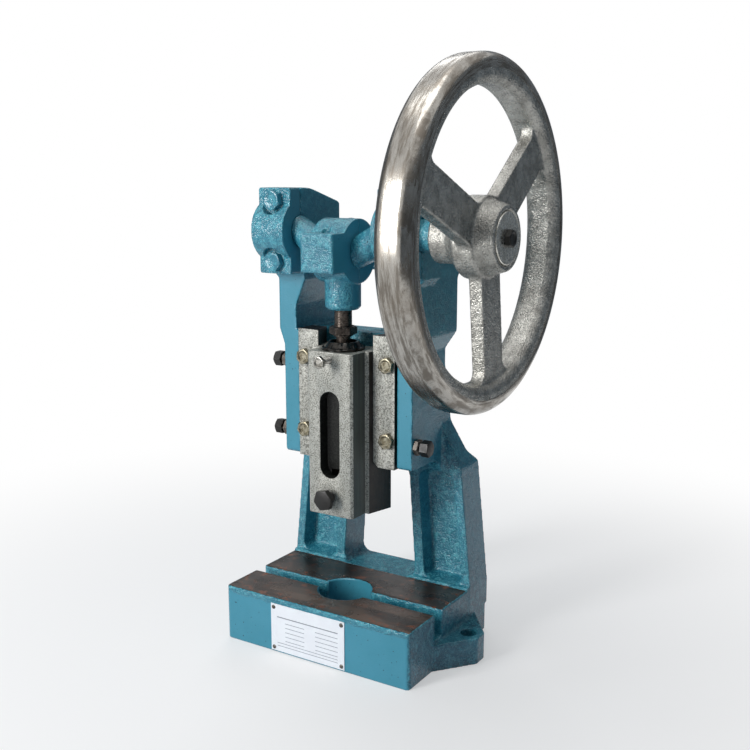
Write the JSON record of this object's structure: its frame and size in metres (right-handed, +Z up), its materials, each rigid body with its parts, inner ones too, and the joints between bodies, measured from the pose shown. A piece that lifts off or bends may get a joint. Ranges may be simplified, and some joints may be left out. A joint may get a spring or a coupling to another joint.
{
  "type": "hand wheel bench punch press",
  "caption": "Cast-iron bench punch press with a hand wheel, a crankshaft, a dovetailed slide with a punch bore and a die hole in its grooved table.",
  "frame": {"origin": "centre of the die hole on the bench plane", "axes": "+Z up along the die hole, -Y to the operator, +X to the hand wheel"},
  "size_m": [0.2905, 0.2872, 0.5276],
  "materials": {
    "blue_enamel": "gloss enamel on rough casting",
    "hammertone_grey": "hammertone",
    "wheel_silver": "silver paint, rim polished",
    "zinc_plate": "zinc plated",
    "black_oxide": "black oxide",
    "plate_silver": "satin plate"
  },
  "bodies": {
    "frame": {"frame_casting": "blue_enamel", "left_bearing_cap": "blue_enamel", "right_bearing_cap": "blue_enamel", "left_cap_bolts": "blue_enamel", "right_cap_bolts": "blue_enamel", "left_gib": "hammertone_grey", "right_gib": "hammertone_grey", "left_gib_bolts": "zinc_plate", "right_gib_bolts": "zinc_plate", "left_side_set_screws": "black_oxide", "right_side_set_screws": "black_oxide", "left_side_lock_nuts": "zinc_plate", "right_side_lock_nuts": "zinc_plate", "nameplate": "plate_silver", "nameplate_rivets": "plate_silver"},
    "crank": {"crankshaft": "blue_enamel", "wheel_key": "black_oxide", "handwheel": "wheel_silver", "wheel_washer": "zinc_plate", "wheel_bolt": "black_oxide"},
    "rod": {"connecting_rod": "blue_enamel", "connecting_rod_cap": "blue_enamel", "rod_cap_bolts": "black_oxide", "ball_screw": "black_oxide", "ball_screw_lock_nut": "black_oxide"},
    "slide": {"slide": "hammertone_grey", "ball_retaining_nut": "black_oxide", "retaining_nut_lock_screw": "zinc_plate", "punch_clamp_bolt": "black_oxide"}
  },
  "joints": [
    {"name": "crank_turn", "type": "hinge", "parent": "frame", "child": "crank", "pos_m": [0, 0, 0.384], "axis": [-1, 0, 0], "range_deg": [0, 90]},
    {"name": "rod_swing", "type": "hinge", "parent": "crank", "child": "rod", "pos_m": [0, 0, 0.368], "axis": [-1, 0, 0], "range_deg": [-100, 0]},
    {"name": "slide_travel", "type": "slide", "parent": "frame", "child": "slide", "axis": [0, 0, 1], "range_m": [0, 0.0149]}
  ],
  "couplings": [
    {"joint": "rod_swing", "follows": "crank_turn", "ratio": -1.107},
    {"joint": "slide_travel", "follows": "crank_turn", "m_per_rad": 0.00944}
  ]
}
